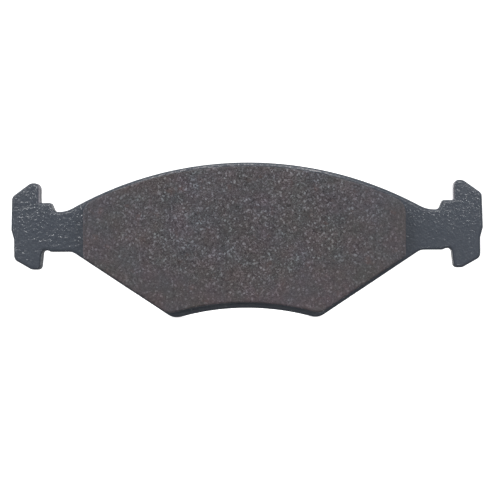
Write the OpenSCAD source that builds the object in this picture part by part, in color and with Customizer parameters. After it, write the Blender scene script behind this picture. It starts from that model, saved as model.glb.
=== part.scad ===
// Disc brake pad with hammerhead ears, standing on its two lower lobes.
// +X runs along the pad, +Z away from the wheel centre, and the friction face looks along -Y.
// The origin is below the middle of the pad, at the height of the lobes' lowest points.

/* [Overall] */
// Length over both ears
pad_length = 156; // [150:1:162]
// Height of the crown above the lowest point of the lobes
crown_height = 51.1; // [49:0.1:53]
// Radius of the outer arc of the plate
outer_arc_r = 119.5; // [116:0.5:124]
// Radius of the arch between the lobes
arch_r = 83; // [80:1:90]
// Height of the arch above the lobes' lowest points
arch_rise = 3; // [2.5:0.1:3.5]
// Radius of the lobes
lobe_r = 5.5; // [4.5:0.1:6.5]
// Slope of the lower side edges, in degrees
side_angle = 33.5; // [32.5:0.1:34]

/* [Thicknesses] */
// Steel backing plate
plate_t = 5.5; // [5:0.1:6.5]
// Bond film between plate and underlayer
film_t = 0.15; // [0.1:0.05:0.3]
// Underlayer
underlayer_t = 2; // [1.5:0.1:3]
// Friction lining above the underlayer
lining_t = 9.35; // [3:0.05:11]
// Adhesive behind the plate
adhesive_t = 0.1; // [0.1:0.05:0.2]
// Each rubber coat of the shim
rubber_t = 0.15; // [0.1:0.05:0.25]
// Steel core of the shim
shim_steel_t = 0.5; // [0.4:0.1:0.8]

/* [Necks and ears] */
// Height of the top edge of the necks
neck_top_z = 35.2; // [34.5:0.1:35.5]
// Height of the bottom edge of the necks
neck_bottom_z = 21.9; // [21.5:0.1:22.5]
// Fillet between outer arc and neck
neck_top_fillet = 9.5; // [8:0.5:10]
// Fillet between side edge and neck
neck_bottom_fillet = 4; // [3:0.5:5]
// Width of the upper part of an ear
ear_w = 9.6; // [9.2:0.1:10]
// Top of an ear
ear_top_z = 44.8; // [43.5:0.1:45.5]
// Bottom of an ear
ear_bottom_z = 16; // [15:0.1:17]
// Step of an ear's outer edge, where its lower part is narrower
ear_step = 0.9; // [0.4:0.1:1.2]
// Height of the step tab between neck and ear
tab_rise = 3; // [2.5:0.1:3.4]
// Length of the step tab along its top
tab_w = 3.7; // [3.2:0.1:4.2]

/* [Friction block] */
// Half the length of the block, to its upright ends
block_half = 52.2; // [50:0.1:53]
// Margin of plate along the outer arc and the arch
arc_margin = 2; // [1.5:0.1:2.5]
// Margin of plate along the lower side edges
side_margin = 1.2; // [0.9:0.1:2]

/* [Shim] */
// Half the length of the shim
shim_half = 50.5; // [49:0.5:52]
// Margin of plate around the shim
shim_margin = 2.6; // [2.2:0.1:3]

/* [Plate features] */
// Radius of the two retention holes
retention_r = 4; // [3:0.5:5]
// Distance of the retention holes from the middle
retention_x = 27; // [22:1:32]
// Radius of the two pips that locate the shim
pip_r = 2.5; // [2:0.1:3]
// Height of the pips above the back of the plate
pip_h = 0.7; // [0.5:0.1:0.8]
// Distance of the pips from the middle
pip_x = 44; // [42:0.5:45]
// Height of retention holes and pips
feature_z = 26.5; // [25:0.5:28]

/* [Hidden] */
$fn = 64;

// Length of one chord where an outline follows an arc, and the widest angle it may span
arc_step = 0.8;
arc_step_angle = 12;

// Places along Y, from the friction face to the back of the shim
shim_t = adhesive_t + 2 * rubber_t + shim_steel_t;
total_t = lining_t + underlayer_t + film_t + plate_t + shim_t;
lining_y = -total_t / 2;
underlayer_y = lining_y + lining_t;
film_y = underlayer_y + underlayer_t;
plate_y = film_y + film_t;
adhesive_y = plate_y + plate_t;
inner_rubber_y = adhesive_y + adhesive_t;
shim_steel_y = inner_rubber_y + rubber_t;
outer_rubber_y = shim_steel_y + shim_steel_t;

// Centres of the outer arc, the arch and a lobe
outer_centre = [0, crown_height - outer_arc_r];
arch_centre = [0, arch_rise - arch_r];
lobe_reach = arch_r + lobe_r;
lobe_centre = [sqrt(pow(lobe_reach, 2) - pow(lobe_reach - arch_rise, 2)), lobe_r];

// The side edge touches the lobe, and climbs from there to the neck
side_dir = [cos(side_angle), sin(side_angle)];
side_normal = [sin(side_angle), -cos(side_angle)];
side_point = lobe_centre + lobe_r * side_normal;

// Centres of the fillets on both sides of the neck
top_fillet_z = neck_top_z + neck_top_fillet;
top_fillet_x = sqrt(pow(outer_arc_r + neck_top_fillet, 2) - pow(top_fillet_z - outer_centre.y, 2));
top_fillet_centre = [top_fillet_x, top_fillet_z];
bottom_fillet_z = neck_bottom_z - neck_bottom_fillet;
bottom_fillet_x = side_point.x
    + (neck_bottom_fillet + (bottom_fillet_z - side_point.y) * side_dir.x) / side_dir.y;
bottom_fillet_centre = [bottom_fillet_x, bottom_fillet_z];

// Corners of the right ear from the top of the neck to its bottom: [x, z, radius]
ear_x = pad_length / 2;
hook_x = ear_x - ear_w;
tab_z = neck_top_z + tab_rise;
ear_corners = [
    [hook_x - tab_w - 1.2, neck_top_z, 1.4],
    [hook_x - tab_w, tab_z, 0.8],
    [hook_x, tab_z, 0.5],
    [hook_x, ear_top_z, 1.8],
    [hook_x + 3.1, ear_top_z, 2.4],
    [ear_x - 0.3, ear_top_z - 4.5, 1.8],
    [ear_x, ear_top_z - 15.6, 2],
    [ear_x - ear_step, ear_top_z - 18.8, 2],
    [ear_x - ear_step, ear_bottom_z + 3.4, 2.4],
    [hook_x + 2.7, ear_bottom_z, 2.6],
    [hook_x - 0.2, ear_bottom_z, 1.5],
    [hook_x - 0.9, neck_bottom_z + 0.7, 1.1],
    [hook_x - 2.8, neck_bottom_z + 0.4, 0.6],
    [hook_x - 3.6, neck_bottom_z, 0.6]
];

// Radii of the friction block's corners: upper ends, lower ends and lobes
block_radii = [5, 1.5, 4];
// The same for the shim
shim_radii = [6, 3, 4];
// Gap around a pip inside the shim, and of the recess that its pressing leaves in front
pip_clearance = 0.3;
pip_recess_r = pip_r + 0.1;
pip_recess_depth = pip_h + 0.2;
// How far a cutter stands out of what it cuts
cut = 1;

// Points of an arc about centre c
function arc(c, r, from, to) =
    let (span = abs(to - from),
         steps = max(2, ceil(span * r * PI / 180 / arc_step), ceil(span / arc_step_angle)))
    [for (i = [0 : steps])
        let (a = from + (to - from) * i / steps)
        c + r * [cos(a), sin(a)]];

// Angle of the direction from one point to another
function heading(from, to) = atan2(to.y - from.y, to.x - from.x);

// Turn from one heading to another, between -180 and 180
function turn(from, to) = (to - from + 540) % 360 - 180;

// One corner of an open path, rounded with its own radius
function rounded_corner(before, corner, after) =
    let (p = [corner.x, corner.y],
         back = heading(p, before),
         ahead = heading(p, after),
         opening = turn(back, ahead),
         middle = back + opening / 2,
         reach = corner[2] / sin(abs(opening) / 2),
         centre = p + reach * [cos(middle), sin(middle)],
         sweep = opening > 0 ? opening - 180 : opening + 180,
         first = middle + 180 - sweep / 2)
    arc(centre, corner[2], first, first + sweep);

// An open path through rounded corners, between two plain end points
function rounded_path(start, corners, end) =
    let (all = concat([start], corners, [end]))
    [for (i = [1 : len(corners)])
        each rounded_corner(all[i - 1], all[i], all[i + 1])];

// A closed outline from its right half, without points that coincide
function both_halves(right) =
    let (last = len(right) - 1,
         left = [for (i = [0 : last]) [-right[last - i].x, right[last - i].y]],
         points = concat(right, left),
         count = len(points))
    [for (i = [0 : count - 1])
        if (norm(points[i] - points[(i + 1) % count]) > 0.001) points[i]];

// Where a circle of radius r lies that touches the inset side edge and the inset arch
function inset_lobe_centre(r, arc_inset, side_inset) =
    let (start = side_point - (side_inset + r) * side_normal,
         offset = start - arch_centre,
         along = offset * side_dir,
         reach = arch_r + arc_inset + r)
    start + (sqrt(along * along - offset * offset + reach * reach) - along) * side_dir;

// Right half of the arch, from a lobe to the middle
function arch_points(r, lobe) = arc(arch_centre, r, heading(arch_centre, lobe), 90);

// Outline of the plate
function plate_outline() =
    let (arc_end = heading(outer_centre, top_fillet_centre),
         neck_start = [top_fillet_centre.x, neck_top_z],
         neck_end = [bottom_fillet_centre.x, neck_bottom_z])
    both_halves(concat(
        arc(outer_centre, outer_arc_r, 90, arc_end),
        arc(top_fillet_centre, neck_top_fillet, arc_end + 180, 270),
        rounded_path(neck_start, ear_corners, neck_end),
        arc(bottom_fillet_centre, neck_bottom_fillet, 90, 90 + side_angle),
        arc(lobe_centre, lobe_r, side_angle - 90, heading(lobe_centre, arch_centre)),
        arch_points(arch_r, lobe_centre)));

// Outline of a block on the plate: radii are those of its upper ends, its lower ends and its lobes
function block_outline(half, arc_inset, side_inset, radii) =
    let (top_r = outer_arc_r - arc_inset,
         upper_x = half - radii[0],
         upper_reach = top_r - radii[0],
         upper = [upper_x, outer_centre.y + sqrt(upper_reach * upper_reach - upper_x * upper_x)],
         lower_x = half - radii[1],
         lower_rise = (lower_x - side_point.x) * side_dir.y + side_inset + radii[1],
         lower = [lower_x, side_point.y + lower_rise / side_dir.x],
         lobe = inset_lobe_centre(radii[2], arc_inset, side_inset))
    both_halves(concat(
        arc(outer_centre, top_r, 90, heading(outer_centre, upper)),
        arc(upper, radii[0], heading(outer_centre, upper), 0),
        arc(lower, radii[1], 0, side_angle - 90),
        arc(lobe, radii[2], side_angle - 90, heading(lobe, arch_centre)),
        arch_points(arch_r + arc_inset, lobe)));

// A flat layer that starts at y and is t thick
module layer(y, t, outline) {
    translate([0, y + t, 0])
        rotate([90, 0, 0])
            linear_extrude(height = t)
                polygon(outline);
}

// The friction block's outline as a layer
module block_layer(y, t) {
    layer(y, t, block_outline(block_half, arc_margin, side_margin, block_radii));
}

// Round bars along Y, one on each side of the middle
module bar_pair(x, r, y, t) {
    for (side = [-1, 1])
        translate([side * x, y + t, feature_z])
            rotate([90, 0, 0])
                cylinder(h = t, r = r);
}

// One layer of the shim, with a hole around each pip
module shim_layer(y, t) {
    difference() {
        layer(y, t, block_outline(shim_half, shim_margin, shim_margin, shim_radii));
        bar_pair(pip_x, pip_r + pip_clearance, y - cut, t + 2 * cut);
    }
}

// Stamped steel plate with its ears, two retention holes and two half-pressed pips
module backing_plate() {
    color([0.32, 0.34, 0.37]) {
        difference() {
            layer(plate_y, plate_t, plate_outline());
            bar_pair(retention_x, retention_r, plate_y - cut, plate_t + 2 * cut);
            bar_pair(pip_x, pip_recess_r, plate_y - cut, cut + pip_recess_depth);
        }
        bar_pair(pip_x, pip_r, adhesive_y, pip_h);
    }
}

// Phenolic film that bonds the block to the plate
module bond_film() {
    color([0.42, 0.27, 0.12])
        difference() {
            block_layer(film_y, film_t);
            bar_pair(retention_x, retention_r, film_y - cut, film_t + 2 * cut);
            bar_pair(pip_x, pip_recess_r, film_y - cut, film_t + 2 * cut);
        }
}

// Softer layer of the block, which fills the plate's holes and recesses
module underlayer() {
    color([0.3, 0.28, 0.27])
        union() {
            block_layer(underlayer_y, underlayer_t);
            bar_pair(retention_x, retention_r, film_y, film_t + plate_t);
            bar_pair(pip_x, pip_recess_r, film_y, film_t + pip_recess_depth);
        }
}

// Friction material that wears against the disc
module friction_lining() {
    color([0.34, 0.33, 0.34])
        block_layer(lining_y, lining_t);
}

// Adhesive that holds the shim
module shim_adhesive() {
    color([0.75, 0.7, 0.55])
        shim_layer(adhesive_y, adhesive_t);
}

// Rubber coat on the plate side of the shim
module shim_inner_rubber() {
    color([0.12, 0.12, 0.13])
        shim_layer(inner_rubber_y, rubber_t);
}

// Steel sheet of the shim
module shim_steel_core() {
    color([0.7, 0.71, 0.73])
        shim_layer(shim_steel_y, shim_steel_t);
}

// Rubber coat on the piston side of the shim
module shim_outer_rubber() {
    color([0.15, 0.15, 0.16])
        shim_layer(outer_rubber_y, rubber_t);
}

backing_plate();
bond_film();
underlayer();
friction_lining();
shim_adhesive();
shim_inner_rubber();
shim_steel_core();
shim_outer_rubber();
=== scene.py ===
import math

import bmesh
import bpy
import numpy as np
from mathutils import Matrix, Vector, noise
from mathutils.geometry import delaunay_2d_cdt
from mathutils.kdtree import KDTree


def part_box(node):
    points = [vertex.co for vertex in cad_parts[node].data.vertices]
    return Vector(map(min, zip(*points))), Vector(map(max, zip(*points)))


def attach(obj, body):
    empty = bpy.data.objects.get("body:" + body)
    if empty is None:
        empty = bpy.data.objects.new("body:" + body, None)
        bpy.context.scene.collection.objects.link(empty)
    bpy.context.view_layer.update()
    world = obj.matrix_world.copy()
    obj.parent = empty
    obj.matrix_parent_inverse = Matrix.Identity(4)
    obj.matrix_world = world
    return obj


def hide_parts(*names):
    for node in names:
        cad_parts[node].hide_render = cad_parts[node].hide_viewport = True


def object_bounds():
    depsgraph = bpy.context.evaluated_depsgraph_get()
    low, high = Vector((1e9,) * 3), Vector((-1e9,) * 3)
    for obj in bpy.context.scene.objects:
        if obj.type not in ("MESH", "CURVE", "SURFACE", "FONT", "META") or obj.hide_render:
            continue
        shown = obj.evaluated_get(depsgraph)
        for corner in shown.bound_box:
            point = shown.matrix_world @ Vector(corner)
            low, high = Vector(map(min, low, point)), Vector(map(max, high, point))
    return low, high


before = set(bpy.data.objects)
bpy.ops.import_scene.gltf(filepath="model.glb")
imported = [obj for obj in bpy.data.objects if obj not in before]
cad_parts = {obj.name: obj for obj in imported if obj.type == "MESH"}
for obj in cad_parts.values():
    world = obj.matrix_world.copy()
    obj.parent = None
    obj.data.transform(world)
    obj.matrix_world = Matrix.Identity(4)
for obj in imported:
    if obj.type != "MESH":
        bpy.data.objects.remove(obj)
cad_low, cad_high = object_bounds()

MM = 0.001
PAD_SIZE = cad_high - cad_low

# Spacing of the mesh where its relief shows, and where another piece covers it
FINE = 0.3 * MM
COARSE = 3.0 * MM

# Spacing of the rings on a piece's walls, and the number of points round a hole, plug or pip
RING = 1.5 * FINE
ROUND = 64

# Rounding of an edge that stays almost sharp
SHARP = 0.02 * MM

# Where the inner walls of the ears stand, in millimetres from the middle, and the height of their feet
HOOK_X = 0.877 * cad_high.x / MM
HOOK_FOOT_Z = 0.76 * cad_high.z / MM


# ---------------------------------------------------------------- outlines

def face_loops(node, at_back):
    """Closed outlines, as (x, z) arrays, of a CAD node's flat faces at its lowest or highest Y."""
    low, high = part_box(node)
    return plane_loops(node, high.y if at_back else low.y)


def plane_loops(node, y):
    """Closed outlines of a CAD node's flat faces in the plane at y, the longest first."""
    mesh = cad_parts[node].data
    keys = [tuple(round(c / MM, 4) for c in v.co) for v in mesh.vertices]
    plane = round(y / MM, 4)
    after = {}
    for polygon in mesh.polygons:
        corners = [keys[i] for i in polygon.vertices]
        if any(abs(corner[1] - plane) > 0.001 for corner in corners):
            continue
        for a, b in zip(corners, corners[1:] + corners[:1]):
            after.setdefault(a, set()).add(b)
    border = {a: b for a, ends in after.items() for b in ends if a not in after.get(b, ())}
    loops = []
    while border:
        start, here = border.popitem()
        loop = [start]
        while here != start:
            loop.append(here)
            here = border.pop(here)
        loops.append(np.array([(p[0] * MM, p[2] * MM) for p in loop]))
    return sorted(loops, key=perimeter, reverse=True)


def perimeter(loop):
    return float(np.linalg.norm(np.roll(loop, -1, 0) - loop, axis=1).sum())


def counter_clockwise(loop):
    x, z = loop.T
    area = (x * np.roll(z, -1) - np.roll(x, -1) * z).sum()
    return loop if area > 0 else loop[::-1]


def resampled(loop, spacing):
    """The same outline with points evenly spaced along it, counter-clockwise."""
    loop = counter_clockwise(loop)
    closed = np.vstack([loop, loop[:1]])
    run = np.concatenate([[0], np.cumsum(np.linalg.norm(np.diff(closed, axis=0), axis=1))])
    count = max(12, round(run[-1] / spacing))
    at = np.arange(count) * run[-1] / count
    return np.column_stack([np.interp(at, run, closed[:, 0]), np.interp(at, run, closed[:, 1])])


def inward_normals(loop):
    along = np.roll(loop, -2, 0) - np.roll(loop, 2, 0)
    along /= np.linalg.norm(along, axis=1)[:, None]
    return np.column_stack([-along[:, 1], along[:, 0]])


def circle(centre, radius, count):
    angles = np.arange(count) * 2 * math.pi / count
    return np.column_stack([centre[0] + radius * np.cos(angles), centre[1] + radius * np.sin(angles)])


def inside(points, loop):
    """Which of the points lie inside the outline."""
    found = np.zeros(len(points), bool)
    x, z = points.T
    for (x0, z0), (x1, z1) in zip(loop, np.roll(loop, -1, 0)):
        if z0 == z1:
            continue
        crosses = (z0 > z) != (z1 > z)
        found ^= crosses & (x < (x1 - x0) * (z - z0) / (z1 - z0) + x0)
    return found


def distance_to(points, loop):
    """Distance from each point to the nearest point of a finely spaced outline."""
    tree = KDTree(len(loop))
    for i, (x, z) in enumerate(loop):
        tree.insert((x, z, 0), i)
    tree.balance()
    return np.array([tree.find((x, z, 0))[2] for x, z in points])


# ---------------------------------------------------------------- mesh building

class Shell:
    """A closed mesh of rings along Y, joined by strips and closed by triangulated faces."""

    def __init__(self):
        self.points = []
        self.faces = []

    def ring(self, loop, y):
        first = len(self.points)
        self.points += [(x, y, z) for x, z in loop]
        return list(range(first, len(self.points)))

    def strip(self, a, b):
        count = len(a)
        for i in range(count):
            j = (i + 1) % count
            self.faces.append((a[i], a[j], b[j], b[i]))

    def wall(self, loop, profile):
        """Rings of an outline at each (inset, y) of the profile. Gives the first and last ring."""
        normals = inward_normals(loop)
        rings = [self.ring(loop + normals * inset, y) for inset, y in profile]
        for a, b in zip(rings, rings[1:]):
            self.strip(a, b)
        return rings[0], rings[-1]

    def fill(self, rings, spacing, covered=None):
        """Closes the flat region between an outer ring and any inner rings.
        Where covered says that another piece hides the face, the mesh is coarse."""
        loops = [np.array([(self.points[i][0], self.points[i][2]) for i in ring]) for ring in rings]
        y = self.points[rings[0][0]][1]
        grid = grid_points(loops, spacing)
        if covered is not None:
            hidden = grid_points(loops, COARSE)
            grid = np.vstack([grid[~covered(grid)], hidden[covered(hidden)]])
        known = [i for ring in rings for i in ring]
        first_new = len(self.points)
        self.points += [(x, y, z) for x, z in grid]
        index = known + list(range(first_new, len(self.points)))
        flat = [Vector((self.points[i][0] / MM, self.points[i][2] / MM)) for i in index]
        edges, start = [], 0
        for ring in rings:
            count = len(ring)
            edges += [(start + i, start + (i + 1) % count) for i in range(count)]
            start += count
        _, _, triangles, origin, *_ = delaunay_2d_cdt(flat, edges, [], 1, 1e-7)
        centres = np.array([np.mean([flat[origin[i][0]] for i in t], axis=0) for t in triangles]) * MM
        hole = np.zeros(len(triangles), bool)
        for loop in loops[1:]:
            hole |= inside(centres, loop)
        for triangle, is_hole in zip(triangles, hole):
            if not is_hole:
                self.faces.append(tuple(index[origin[i][0]] for i in triangle))

    def mesh(self, name):
        mesh = bpy.data.meshes.new(name)
        mesh.from_pydata(self.points, [], self.faces)
        mesh.validate()
        return mesh


def grid_points(loops, spacing):
    """Points of a triangular grid inside the first outline and outside the others, clear of them all."""
    low, high = loops[0].min(0), loops[0].max(0)
    row = spacing * math.sqrt(3) / 2
    xs = np.arange(low[0], high[0], spacing)
    zs = np.arange(low[1], high[1], row)
    grid_x, grid_z = np.meshgrid(xs, zs)
    grid_x = grid_x + (np.arange(len(zs)) % 2)[:, None] * spacing / 2
    points = np.column_stack([grid_x.ravel(), grid_z.ravel()])
    points = points[inside(points, loops[0])]
    for loop in loops[1:]:
        points = points[~inside(points, loop)]
    borders = np.vstack(loops)
    return points[distance_to(points, borders) > spacing * 0.6]


def round_over(radius, y, towards, steps=5):
    """Profile of a rounded edge from a flat face at y to the wall. towards is +1 if the wall runs to +Y."""
    angles = [math.pi / 2 * i / steps for i in range(steps + 1)]
    return [(radius * (1 - math.sin(a)), y + towards * radius * (1 - math.cos(a))) for a in angles]


def straight(y_from, y_to, spacing):
    """Wall rings between two heights, without its ends."""
    steps = max(2, round(abs(y_to - y_from) / spacing))
    return [(0.0, y_from + (y_to - y_from) * i / steps) for i in range(1, steps)]


def slab_profile(y_front, y_back, front_radius, back_radius, spacing):
    front = round_over(front_radius, y_front, 1)
    back = round_over(back_radius, y_back, -1)[::-1]
    return front + straight(front[-1][1], back[0][1], spacing) + back


def finished(shell, name, node, material, relief):
    """Makes the object of a shell: displaced along its normals, smooth, and in place of its node."""
    mesh = shell.mesh(name)
    piece = bpy.data.objects.new(name, mesh)
    bpy.context.scene.collection.objects.link(piece)
    outward(mesh)
    displace(mesh, relief)
    mesh.polygons.foreach_set("use_smooth", [True] * len(mesh.polygons))
    mesh.materials.append(material)
    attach(piece, "root")
    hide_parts(node)
    return piece


def outward(mesh):
    """Turns every face outwards."""
    shape = bmesh.new()
    shape.from_mesh(mesh)
    bmesh.ops.recalc_face_normals(shape, faces=shape.faces)
    shape.to_mesh(mesh)
    shape.free()


def displace(mesh, relief):
    """Moves each vertex along its normal by relief(point, normal)."""
    count = len(mesh.vertices)
    places = np.empty(count * 3, np.float32)
    normals = np.empty(count * 3, np.float32)
    mesh.vertices.foreach_get("co", places)
    mesh.vertex_normals.foreach_get("vector", normals)
    places = places.reshape(-1, 3)
    normals = normals.reshape(-1, 3)
    heights = relief(places.astype(float), normals.astype(float))
    mesh.vertices.foreach_set("co", (places + normals * heights[:, None]).ravel().astype(np.float32))
    mesh.update()


def noise_of(points, period, seed):
    """Smooth noise between about -1 and 1, one value a point."""
    shift = Vector((seed * 17.3, seed * 5.1, seed * 9.7))
    scale = 1 / period
    return np.array([noise.noise(Vector(p) * scale + shift) for p in points])


def cells_of(points, period, seed):
    """Distance to the nearest and the second nearest of scattered points, in periods."""
    shift = Vector((seed * 7.7, seed * 3.3, seed * 1.9))
    scale = 1 / period
    pairs = [noise.voronoi(Vector(p) * scale + shift)[0][:2] for p in points]
    return np.array(pairs)


# ---------------------------------------------------------------- materials

class Tree:
    """A material's nodes, made one call at a time."""

    def __init__(self, name):
        self.material = bpy.data.materials.new(name)
        self.material.use_nodes = True
        self.nodes = self.material.node_tree.nodes
        self.links = self.material.node_tree.links
        self.shader = next(n for n in self.nodes if n.type == "BSDF_PRINCIPLED")
        coordinates = self.nodes.new("ShaderNodeTexCoord")
        scale = self.nodes.new("ShaderNodeMapping")
        scale.inputs["Scale"].default_value = (1 / MM,) * 3
        self.links.new(coordinates.outputs["Object"], scale.inputs["Vector"])
        self.millimetres = scale.outputs["Vector"]
        self.normal = coordinates.outputs["Normal"]

    def node(self, kind, inputs, **settings):
        node = self.nodes.new(kind)
        for key, value in settings.items():
            setattr(node, key, value)
        for key, value in inputs.items():
            self.put(node.inputs[key], value)
        return node

    def put(self, socket, value):
        if isinstance(value, bpy.types.NodeSocket):
            self.links.new(value, socket)
        else:
            socket.default_value = value

    def set(self, **inputs):
        for key, value in inputs.items():
            self.put(self.shader.inputs[key.replace("_", " ")], value)

    def noise(self, period, detail=2.0, rough=0.5, distortion=0.0, at=None):
        inputs = {"Vector": at or self.millimetres, "Scale": 1 / period, "Detail": detail,
                  "Roughness": rough, "Distortion": distortion}
        return self.node("ShaderNodeTexNoise", inputs).outputs["Fac"]

    def cells(self, period, output="Color", at=None):
        inputs = {"Vector": at or self.millimetres, "Scale": 1 / period}
        return self.node("ShaderNodeTexVoronoi", inputs).outputs[output]

    def ramp(self, factor, stops):
        node = self.node("ShaderNodeValToRGB", {"Fac": factor})
        elements = node.color_ramp.elements
        while len(elements) < len(stops):
            elements.new(0.5)
        for element, (position, value) in zip(elements, stops):
            element.position = position
            element.color = (value, value, value, 1) if isinstance(value, float) else (*value, 1)
        return node.outputs["Color"]

    def mix(self, factor, a, b, how="MIX"):
        node = self.node("ShaderNodeMix", {}, data_type="RGBA", blend_type=how)
        self.put(node.inputs["Factor"], factor)
        self.put(node.inputs["A"], a if isinstance(a, bpy.types.NodeSocket) else (*a, 1))
        self.put(node.inputs["B"], b if isinstance(b, bpy.types.NodeSocket) else (*b, 1))
        return node.outputs["Result"]

    def maths(self, how, a, b=0.0):
        return self.node("ShaderNodeMath", {0: a, 1: b}, operation=how).outputs["Value"]

    def size_of(self, vector, name):
        return self.maths("ABSOLUTE", self.axis(vector, name))

    def product(self, *factors):
        result = factors[0]
        for factor in factors[1:]:
            result = self.maths("MULTIPLY", result, factor)
        return result

    def channel(self, colour, name):
        return self.node("ShaderNodeSeparateColor", {"Color": colour}).outputs[name]

    def range(self, value, low, high, value_low=0.0, value_high=1.0, how="LINEAR"):
        inputs = {"Value": value, "From Min": value_low, "From Max": value_high,
                  "To Min": low, "To Max": high}
        return self.node("ShaderNodeMapRange", inputs, interpolation_type=how).outputs["Result"]

    def axis(self, vector, name):
        return self.node("ShaderNodeSeparateXYZ", {"Vector": vector}).outputs[name]

    def drops(self, period, share):
        """Round drops, from 0 between them to 1 at their tops."""
        return self.range(self.cells(period, "Distance"), 1.0, 0.0, 0.0, share, "SMOOTHSTEP")

    def bump(self, height, distance, strength=1.0, normal=None):
        inputs = {"Height": height, "Distance": distance, "Strength": strength}
        if normal:
            inputs["Normal"] = normal
        return self.node("ShaderNodeBump", inputs).outputs["Normal"]


def paint():
    """Dark slate-blue paint with a glossy, lumpy skin, with painted highlights in dashes on its
    upward-facing front edges and partly painted light on the upper inner walls of the ears.
    """
    tree = Tree("slate_paint")
    tone = tree.mix(tree.noise(6.0, detail=3), (0.0425, 0.052, 0.07), (0.054, 0.0625, 0.0785))
    speck = tree.ramp(tree.noise(0.6, detail=3, rough=0.6), [(0.5, 0.0), (0.72, 0.7)])
    tone = tree.mix(speck, tone, (0.07, 0.083, 0.1))
    # Partly rubbed paint and partly painted light: the inner walls of the ears turn lighter above their
    # feet, the shaded lower walls hardly at all.
    tone = tree.mix(worn_and_lit_walls(tree), tone, (0.2, 0.19, 0.22))
    # Painted highlight: light dashes on the upward-facing front edges stand in for glints of the top
    # lights.
    tone = tree.mix(painted_edge_glints(tree), tone, (0.3, 0.29, 0.305))
    tree.set(Base_Color=tone, Specular_IOR_Level=0.5)
    tree.set(Roughness=tree.range(tree.noise(1.5, detail=2), 0.16, 0.26))
    skin = tree.bump(tree.noise(0.6, detail=1, rough=0.4), 0.05 * MM)
    upwards = tree.range(tree.axis(tree.millimetres, "Z"), 0.4, 1.0, 22.0, 32.0)
    runs = tree.product(upwards, near_hook(tree), tree.drops(1.0, 0.45))
    tree.set(Normal=tree.bump(runs, 0.06 * MM, normal=skin))
    return tree.material


def near_hook(tree):
    """1 round the foot of an ear's inner wall, where the paint ran together, and less elsewhere."""
    across = tree.maths("SUBTRACT", tree.size_of(tree.millimetres, "X"), HOOK_X)
    across = tree.maths("ABSOLUTE", across)
    above = tree.maths("SUBTRACT", tree.axis(tree.millimetres, "Z"), HOOK_FOOT_Z)
    above = tree.maths("ABSOLUTE", above)
    return tree.product(tree.range(across, 1.0, 0.7, 4.0, 10.0), tree.range(above, 1.0, 0.7, 4.0, 10.0))


def worn_and_lit_walls(tree):
    """1, in patches, on the inner walls of the ears: rubbed paint where an ear slides in the bracket, and
    painted light that makes the upper walls lighter while the shaded lower walls get little of it.
    """
    wall = tree.range(tree.size_of(tree.normal, "Y"), 1.0, 0.0, 0.55, 0.97)
    sideways = tree.range(tree.size_of(tree.normal, "X"), 0.0, 1.0, 0.25, 0.7)
    along = tree.size_of(tree.millimetres, "X")
    inner = tree.range(along, 0.0, 1.0, HOOK_X - 1.5, HOOK_X - 0.5)
    outer = tree.range(along, 1.0, 0.0, HOOK_X + 1.5, HOOK_X + 3)
    # Painted light: the walls above the ears' feet get the lightening, the shaded walls below them little.
    upper_lit = tree.range(tree.axis(tree.millimetres, "Z"), 0.1, 1.0, 22.0, 32.0)
    patches = tree.range(tree.noise(1.3, detail=3), 0.5, 1.0, 0.3, 0.6)
    return tree.product(wall, sideways, inner, outer, upper_lit, patches)


def painted_edge_glints(tree):
    """Painted highlight: 1 in dashes along the front edges that look upwards, where the top lights glint on
    the paint, most of all at the crown.
    """
    up = tree.axis(tree.normal, "Z")
    tilted = tree.product(tree.range(up, 0.0, 1.0, 0.06, 0.15), tree.range(up, 1.0, 0.0, 0.4, 0.6))
    front = tree.range(tree.axis(tree.normal, "Y"), 1.0, 0.0, -0.6, -0.4)
    crown = tree.range(tree.size_of(tree.millimetres, "X"), 1.0, 0.15, 22.0, 38.0)
    # The dashes break the painted highlight up like glints on lumpy paint.
    glint_dashes = tree.range(tree.noise(0.8, detail=3, rough=0.6), 0.0, 0.8, 0.48, 0.6)
    return tree.product(tilted, front, crown, glint_dashes)


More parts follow.
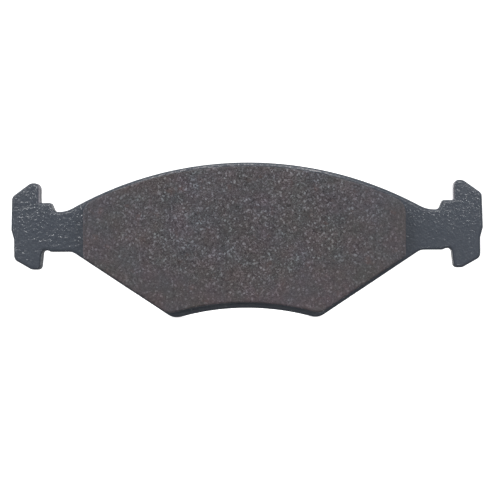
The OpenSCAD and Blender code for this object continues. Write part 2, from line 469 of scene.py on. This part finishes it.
def friction():
    """Ground friction composite: grey resin with light fibres and chips, dark pits and faint rusty tints.
    It is smoother towards its ends, and its walls carry a mist of the plate's paint."""
    tree = Tree("friction_compound")
    grain = tree.channel(tree.cells(0.55), "Red")
    small = tree.channel(tree.cells(0.3), "Green")
    tone = tree.ramp(grain, [(0.0, 0.02), (0.12, 0.055), (0.75, 0.073), (0.9, 0.14), (1.0, 0.34)])
    tone = tree.mix(0.5, tone, tree.ramp(small, [(0.0, 0.015), (0.5, 0.066), (0.85, 0.11), (1.0, 0.25)]))
    tone = tree.mix(1.0, tone, tree.ramp(tree.noise(22.0), [(0.3, 0.92), (0.7, 1.08)]), "MULTIPLY")
    along = tree.size_of(tree.millimetres, "X")
    low_down = tree.range(tree.axis(tree.millimetres, "Z"), 42.0, 0.0, 6.0, 20.0)
    towards_end = tree.range(tree.maths("ADD", along, low_down), 0.0, 0.5, 27.0, 48.0)
    tone = tree.mix(towards_end, tone, (0.07, 0.07, 0.07))
    redder = tree.mix(1.0, tone, (1.03, 0.975, 0.965), "MULTIPLY")
    tone = tree.mix(tree.range(low_down, 0.0, 1.0, 0.0, 42.0), tone, redder)
    reddish = [(0.35, (0.94, 1.0, 1.0)), (0.65, (1.08, 0.98, 0.99))]
    tone = tree.mix(1.0, tone, tree.ramp(tree.noise(7.0, detail=3, rough=0.6), reddish), "MULTIPLY")
    bluish = [(0.35, (1.0, 1.0, 0.95)), (0.65, (1.0, 1.0, 1.07))]
    tone = tree.mix(1.0, tone, tree.ramp(tree.noise(11.0, detail=3, rough=0.6), bluish), "MULTIPLY")
    rust = tree.ramp(tree.noise(4.0, detail=4, rough=0.6), [(0.6, 0.0), (0.75, 0.35)])
    tone = tree.mix(rust, tone, (0.13, 0.075, 0.06))
    warm = tree.mix(1.0, tone, (1.05, 0.965, 1.02), "MULTIPLY")
    cool = tree.mix(1.0, tone, (0.98, 1.0, 1.06), "MULTIPLY")
    tone = tree.mix(tree.range(tone, 0.0, 1.0, 0.09, 0.16), warm, cool)
    # A lighter line on the rounded edges of the lining's ends, kept off its top and bottom edges.
    upright = tree.product(tree.size_of(tree.normal, "Z"), 2.0)
    rim = tree.maths("SUBTRACT", tree.size_of(tree.normal, "X"), upright)
    end_rim_lighter = tree.product(tree.range(rim, 0.0, 0.4, 0.15, 0.35), tree.range(rim, 1.0, 0.0, 0.6, 0.8))
    tone = tree.mix(end_rim_lighter, tone, (0.125, 0.112, 0.12))
    depth = tree.axis(tree.millimetres, "Y")
    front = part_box("friction_lining")[0].y / MM
    ragged = tree.maths("ADD", depth, tree.range(tree.noise(0.8), -0.3, 0.3, 0.2, 0.8))
    mist = tree.range(ragged, 0.0, 0.75, front + 0.15, front + 1.2)
    tone = tree.mix(mist, tone, (0.05, 0.055, 0.07))
    tree.set(Base_Color=tone, Specular_IOR_Level=0.35)
    tree.set(Roughness=tree.range(grain, 0.9, 0.6))
    height = tree.maths("ADD", grain, tree.product(tree.noise(0.5, detail=1), 1.5))
    tree.set(Normal=tree.bump(height, 0.06 * MM, 0.7))
    return tree.material


def underlay():
    """Softer moulded compound, browner than the lining."""
    tree = Tree("underlayer_compound")
    grain = tree.channel(tree.cells(0.4), "Red")
    browns = [(0.0, (0.03, 0.027, 0.025)), (0.6, (0.075, 0.066, 0.06)), (1.0, (0.13, 0.11, 0.1))]
    tree.set(Base_Color=tree.ramp(grain, browns), Specular_IOR_Level=0.3)
    tree.set(Roughness=tree.range(grain, 0.9, 0.7))
    tree.set(Normal=tree.bump(tree.noise(0.3, detail=3), 0.05 * MM, 0.8))
    return tree.material


def resin():
    """Brown bond film."""
    tree = Tree("bond_resin")
    tone = tree.mix(tree.noise(1.5, detail=3), (0.1, 0.055, 0.025), (0.22, 0.13, 0.06))
    tree.set(Base_Color=tone, Roughness=tree.range(tree.noise(0.8), 0.3, 0.55))
    tree.set(Normal=tree.bump(tree.noise(0.4, detail=2), 0.03 * MM))
    return tree.material


def glue():
    """Amber pressure sensitive adhesive."""
    tree = Tree("shim_glue")
    tone = tree.mix(tree.noise(2.0, detail=2), (0.35, 0.29, 0.17), (0.48, 0.42, 0.27))
    tree.set(Base_Color=tone, Roughness=tree.range(tree.noise(1.0), 0.25, 0.45))
    tree.set(Normal=tree.bump(tree.noise(0.5, detail=1), 0.02 * MM))
    return tree.material


def rubber():
    """Thin dark rubber coat of the shim, with a fine grain, dust and long scuffs."""
    tree = Tree("shim_rubber")
    cloud = tree.noise(9.0, detail=5, rough=0.65)
    tone = tree.mix(tree.range(cloud, 0.0, 1.0, 0.3, 0.7), (0.028, 0.028, 0.03), (0.055, 0.055, 0.058))
    dust = tree.ramp(tree.noise(0.7, detail=4, rough=0.7), [(0.52, 0.0), (0.75, 0.7)])
    tone = tree.mix(dust, tone, (0.15, 0.147, 0.14))
    stretch = tree.node("ShaderNodeMapping", {"Vector": tree.millimetres, "Scale": (0.05, 1, 1.4)})
    streaks = tree.noise(1.1, detail=4, rough=0.6, at=stretch.outputs["Vector"])
    tone = tree.mix(tree.ramp(streaks, [(0.6, 0.0), (0.78, 0.5)]), tone, (0.13, 0.13, 0.134))
    tree.set(Base_Color=tone, Specular_IOR_Level=0.5)
    tree.set(Roughness=tree.range(tree.noise(3.0, detail=4), 0.38, 0.62))
    tree.set(Normal=tree.bump(tree.noise(0.5, detail=3, rough=0.6), 0.05 * MM, 0.9))
    return tree.material


def steel():
    """Cut edge of the shim's steel sheet, with shear marks along its thickness."""
    tree = Tree("shim_steel")
    squeeze = tree.node("ShaderNodeMapping", {"Vector": tree.millimetres, "Scale": (1, 0.15, 1)})
    marks = tree.noise(0.2, detail=3, at=squeeze.outputs["Vector"])
    tree.set(Base_Color=tree.mix(marks, (0.4, 0.41, 0.43), (0.66, 0.67, 0.68)), Metallic=1.0)
    tree.set(Roughness=tree.range(marks, 0.25, 0.5))
    tree.set(Normal=tree.bump(marks, 0.01 * MM))
    return tree.material


# ---------------------------------------------------------------- pieces

def paint_skin(points, normals):
    """Height of the painted surface, never above the plate's own: orange peel, with drops in places.
    It is calmer on the cut edges, which so keep the plate's outline."""
    peel = noise_of(points, 1.5 * MM, 1) * 0.055 + noise_of(points, 0.9 * MM, 2) * 0.045
    drop = np.clip(1 - cells_of(points, 1.2 * MM, 3)[:, 0] / 0.5, 0, 1)
    corner = Vector((0.872 * cad_high.x, 0.76 * cad_high.z))
    away = np.hypot(np.abs(points[:, 0]) - corner.x, points[:, 2] - corner.y) / (9 * MM)
    run = np.exp(-away ** 2) + 0.25 * noise_of(points, 9 * MM, 4)
    left = points[:, 0] < 0
    thick = np.where(left, 0.35 + 0.85 * run, 0.2 + 0.65 * run)
    height = peel * np.where(left, 0.85, 0.35) + drop ** 2 * (3 - 2 * drop) * 0.08 * thick
    face = np.abs(normals[:, 1])
    return np.minimum(height * (0.35 + 0.65 * face) - 0.02 - 0.14 * face, 0) * MM


def stamped_plate(block_loop, shim_loop):
    """The painted plate: rounded edges, retention holes, and pips with their recesses."""
    low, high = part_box("backing_plate")
    back_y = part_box("shim_adhesive")[0].y
    plate_loops = face_loops("backing_plate", False)
    outline = resampled(plate_loops[0], FINE)
    shell = Shell()
    front, back = shell.wall(outline, slab_profile(low.y, back_y, 1.0 * MM, 0.35 * MM, RING))
    features = sorted((hole.mean(0).tolist(), np.ptp(hole[:, 0]) / 2) for hole in plate_loops[1:])
    front_rings, back_rings = [front], [back]
    pip_x = max(abs(centre[0]) for centre, _ in features)
    pip_loop = face_loops("backing_plate", True)[0]
    pip_r = np.ptp(pip_loop[:, 0]) / 2
    rise = high.y - back_y
    recess_y = low.y + rise + 0.2 * MM
    for centre, radius in features:
        loop = circle(centre, radius, ROUND)
        if abs(abs(centre[0]) - pip_x) > MM:
            a, b = shell.wall(loop, [(0.0, low.y), (0.0, back_y)])
            front_rings.append(a)
            back_rings.append(b)
            continue
        a, floor = shell.wall(loop, [(0.0, low.y), (0.0, recess_y)])
        front_rings.append(a)
        shell.fill([floor], COARSE)
        pip_profile = [(0.0, back_y), (0.0, back_y + 0.3 * rise), (0.0, back_y + 0.6 * rise)]
        pip_profile += round_over(0.25 * MM, high.y, -1)[::-1]
        base, top = shell.wall(circle(centre, pip_r, ROUND), pip_profile)
        back_rings.append(base)
        shell.fill([top], FINE)
    block_fine = resampled(block_loop, FINE)
    shim_fine = resampled(shim_loop, FINE)

    def under(loop):
        return lambda points: inside(points, loop) & (distance_to(points, loop) > 0.6 * MM)

    shell.fill(front_rings, 0.25 * MM, under(block_fine))
    shell.fill(back_rings, 0.4 * MM, under(shim_fine))

    def relief(points, normals):
        flat, depth, slack = points[:, [0, 2]], points[:, 1], 0.1 * MM
        height = paint_skin(points, normals)
        hidden_front = inside(flat, block_fine) & (normals[:, 1] < -0.5)
        hidden_back = inside(flat, shim_fine) & (normals[:, 1] > 0.5) & (depth < back_y + slack)
        in_plate = (depth > low.y + slack) & (depth < back_y - slack)
        bore = in_plate & inside(flat, block_fine) & (distance_to(flat, outline) > MM)
        height[hidden_front | hidden_back | bore] = 0
        return height

    return finished(shell, "stamped_plate", "backing_plate", PAINT, relief)


def ground_lining():
    """The friction block: flat ground face with pits and grains, slightly crumbled edges, moulded walls."""
    low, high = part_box("friction_lining")
    outline = resampled(face_loops("friction_lining", False)[0], FINE)
    shell = Shell()
    front, back = shell.wall(outline, slab_profile(low.y, high.y, 0.6 * MM, SHARP, RING))
    shell.fill([front], FINE)
    shell.fill([back], COARSE)

    def relief(points, normals):
        pits = np.clip(0.42 - cells_of(points, 0.75 * MM, 5)[:, 0], 0, 1) * 0.3
        lumps = noise_of(points, 0.7 * MM, 6) * 0.04 + noise_of(points, 1.6 * MM, 7) * 0.03
        wall = 1 - np.clip(-normals[:, 1], 0, 1)
        height = lumps * (1 + wall) - pits * (1 - 0.5 * wall)
        return np.minimum(height - 0.06 + 0.04 * wall, 0) * MM

    return finished(shell, "ground_lining", "friction_lining", FRICTION, relief)


def moulded_underlayer():
    """The underlayer with its plugs and studs, rough where its rim shows."""
    low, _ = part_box("underlayer")
    face_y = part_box("bond_film")[0].y
    outline = resampled(face_loops("underlayer", False)[0], FINE)
    shell = Shell()
    front, back = shell.wall(outline, slab_profile(low.y, face_y, SHARP, 0.1 * MM, RING))
    shell.fill([front], COARSE)
    rings = [back]
    for loop in plane_loops("underlayer", face_y)[1:]:
        centre, radius = loop.mean(0), np.ptp(loop[:, 0]) / 2
        stud = [(0.0, face_y), (0.0, stud_end(centre))]
        base, top = shell.wall(circle(centre, radius, ROUND), stud)
        rings.append(base)
        shell.fill([top], COARSE)
    shell.fill(rings, COARSE)

    def relief(points, normals):
        rim = np.clip(1 - np.abs(normals[:, 1]), 0, 1) * (distance_to(points[:, [0, 2]], outline) < MM)
        lumps = noise_of(points, 0.8 * MM, 7) * 0.05 + noise_of(points, 0.4 * MM, 8) * 0.03
        return (lumps - 0.02) * MM * rim

    return finished(shell, "moulded_underlayer", "underlayer", UNDERLAY, relief)


def stud_end(centre):
    """Y of the end of the underlayer's plug or stud at this centre."""
    places = [vertex.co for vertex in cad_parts["underlayer"].data.vertices]
    return max(p.y for p in places if math.hypot(p.x - centre[0], p.z - centre[1]) < 5 * MM)


def shim_rubber_coat():
    """Outer rubber coat of the shim, with softened edges and a faint waviness."""
    low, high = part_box("shim_outer_rubber")
    loops = face_loops("shim_outer_rubber", True)
    outline = resampled(loops[0], 2 * FINE)
    shell = Shell()
    profile = slab_profile(low.y, high.y, 0.01 * MM, 0.08 * MM, 0.1 * MM)
    front, back = shell.wall(outline, profile)
    front_rings, back_rings = [front], [back]
    for loop in loops[1:]:
        radius = np.ptp(loop[:, 0]) / 2
        hole_profile = [(-inset, y) for inset, y in profile]
        a, b = shell.wall(circle(loop.mean(0), radius, ROUND), hole_profile)
        front_rings.append(a)
        back_rings.append(b)
    shell.fill(front_rings, COARSE)
    shell.fill(back_rings, 3 * FINE)

    def relief(points, normals):
        return (noise_of(points, 12 * MM, 9) * 0.01 - 0.01) * MM * (normals[:, 1] > 0.5)

    return finished(shell, "shim_rubber_coat", "shim_outer_rubber", RUBBER, relief)


def dress_node(node, material):
    """Gives a CAD node that stays its material."""
    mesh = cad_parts[node].data
    mesh.materials.clear()
    mesh.materials.append(material)


# ---------------------------------------------------------------- studio

def direction(azimuth, elevation):
    """Unit vector from the pad. Azimuth 0 is in front of the friction face, positive is to the right."""
    return Vector((math.sin(azimuth) * math.cos(elevation), -math.cos(azimuth) * math.cos(elevation),
                   math.sin(elevation)))


def make_camera():
    """A long lens, almost level, slightly to the right of the pad's middle."""
    azimuth, elevation, roll = math.radians(2.76), math.radians(-1.0), math.radians(-0.3)
    distance = 3.347 * PAD_SIZE.x
    target = (cad_low + cad_high) / 2
    target.x = cad_low.x + 0.5105 * PAD_SIZE.x
    target.z = cad_low.z + 0.432 * PAD_SIZE.z
    away = direction(azimuth, elevation)
    data = bpy.data.cameras.new("camera")
    data.sensor_width = 36
    data.lens = 114.7
    data.clip_start = 0.01
    data.clip_end = 20
    camera = bpy.data.objects.new("camera", data)
    turned = (-away).to_track_quat("-Z", "Y").to_matrix() @ Matrix.Rotation(roll, 3, "Z")
    camera.matrix_world = Matrix.Translation(target + away * distance) @ turned.to_4x4()
    bpy.context.scene.collection.objects.link(camera)
    bpy.context.scene.camera = camera


def make_stage():
    """A white floor that curves up into a wall all round."""
    floor_r, wall_r, wall_h, steps, turns = 1.2, 1.7, 1.2, 12, 96
    profile = [(0.0, 0.0), (floor_r, 0.0)]
    for i in range(1, steps + 1):
        a = math.pi / 2 * i / steps
        profile.append((floor_r + (wall_r - floor_r) * math.sin(a), (wall_r - floor_r) * (1 - math.cos(a))))
    profile.append((wall_r, wall_h))
    points, faces = [(0.0, 0.0, 0.0)], []
    for r, z in profile[1:]:
        for k in range(turns):
            a = 2 * math.pi * k / turns
            points.append((r * math.cos(a), r * math.sin(a), z))
    for k in range(turns):
        faces.append((0, 1 + k, 1 + (k + 1) % turns))
    for ring in range(len(profile) - 2):
        for k in range(turns):
            a = 1 + ring * turns + k
            b = 1 + ring * turns + (k + 1) % turns
            faces.append((a, a + turns, b + turns, b))
    mesh = bpy.data.meshes.new("floor")
    mesh.from_pydata(points, [], faces)
    mesh.polygons.foreach_set("use_smooth", [True] * len(mesh.polygons))
    floor = bpy.data.objects.new("floor", mesh)
    floor.location.z = cad_low.z
    bpy.context.scene.collection.objects.link(floor)
    material = bpy.data.materials.new("white_floor")
    material.use_nodes = True
    shader = material.node_tree.nodes["Principled BSDF"]
    shader.inputs["Base Color"].default_value = (0.9, 0.9, 0.9, 1)
    shader.inputs["Roughness"].default_value = 1.0
    shader.inputs["Specular IOR Level"].default_value = 0.0
    shader.inputs["Emission Color"].default_value = (1, 1, 1, 1)
    shader.inputs["Emission Strength"].default_value = 0.8
    mesh.materials.append(material)
    floor.visible_diffuse = False
    floor.visible_glossy = False
    floor.visible_shadow = False


def area_light(name, azimuth, elevation, size, strength, distance=1.1):
    """A square light aimed at the pad, placed by its angles in degrees. Its strength is the brightness
    that it gives a white surface that faces it."""
    away = direction(math.radians(azimuth), math.radians(elevation))
    data = bpy.data.lights.new(name, "AREA")
    data.shape = "SQUARE"
    data.size = size
    data.energy = strength * math.pi ** 2 * distance ** 2
    light = bpy.data.objects.new(name, data)
    light.location = (cad_low + cad_high) / 2 + away * distance
    light.rotation_mode = "QUATERNION"
    light.rotation_quaternion = (-away).to_track_quat("-Z", "Y")
    light.visible_camera = False
    bpy.context.scene.collection.objects.link(light)


def make_world():
    """Soft light from all round, brightest in front and above."""
    world = bpy.data.worlds.new("studio")
    bpy.context.scene.world = world
    world.use_nodes = True
    nodes, links = world.node_tree.nodes, world.node_tree.links
    coordinates = nodes.new("ShaderNodeTexCoord")
    towards = nodes.new("ShaderNodeVectorMath")
    towards.operation = "DOT_PRODUCT"
    towards.inputs[1].default_value = (0.0, -0.83, 0.56)
    links.new(coordinates.outputs["Generated"], towards.inputs[0])
    strength = nodes.new("ShaderNodeMapRange")
    strength.inputs["From Min"].default_value = -1.0
    strength.inputs["To Min"].default_value = 0.23
    strength.inputs["To Max"].default_value = 0.54
    links.new(towards.outputs["Value"], strength.inputs["Value"])
    links.new(strength.outputs["Result"], nodes["Background"].inputs["Strength"])
    nodes["Background"].inputs["Color"].default_value = (0.97, 0.98, 1.0, 1)


def make_lights():
    make_world()
    area_light("top_softbox", -6, 60, 0.7, 0.27)
    area_light("edge_spot", 0, 50, 0.08, 0.045)
    area_light("left_side_softbox", -72, 38, 0.3, 0.1)
    area_light("right_side_softbox", 72, 38, 0.3, 0.14)
    area_light("left_spot", -15, 17, 0.07, 0.1)
    area_light("middle_spot", 4, 19, 0.06, 0.1)
    area_light("right_spot", 19, 13, 0.06, 0.07)
    area_light("far_left_spot", -34, 4, 0.06, 0.04)
    area_light("low_spot", 8, -20, 0.05, 0.045)
    area_light("rear_glow", 169, 14, 0.35, 0.012)
    area_light("rear_right_softbox", 128, 10, 0.7, 0.28)
    area_light("rear_left_softbox", 215, 6, 0.7, 0.35)
    area_light("rear_side_softbox", 240, 38, 0.5, 0.08)


PAINT, FRICTION, UNDERLAY, RUBBER = paint(), friction(), underlay(), rubber()
make_camera()
make_stage()
make_lights()
block_loop = face_loops("friction_lining", False)[0]
shim_loop = face_loops("shim_outer_rubber", True)[0]
stamped_plate(block_loop, shim_loop)
ground_lining()
moulded_underlayer()
shim_rubber_coat()
dress_node("bond_film", resin())
dress_node("shim_adhesive", glue())
dress_node("shim_inner_rubber", RUBBER)
dress_node("shim_steel_core", steel())
bpy.context.scene.view_settings.view_transform = "Standard"
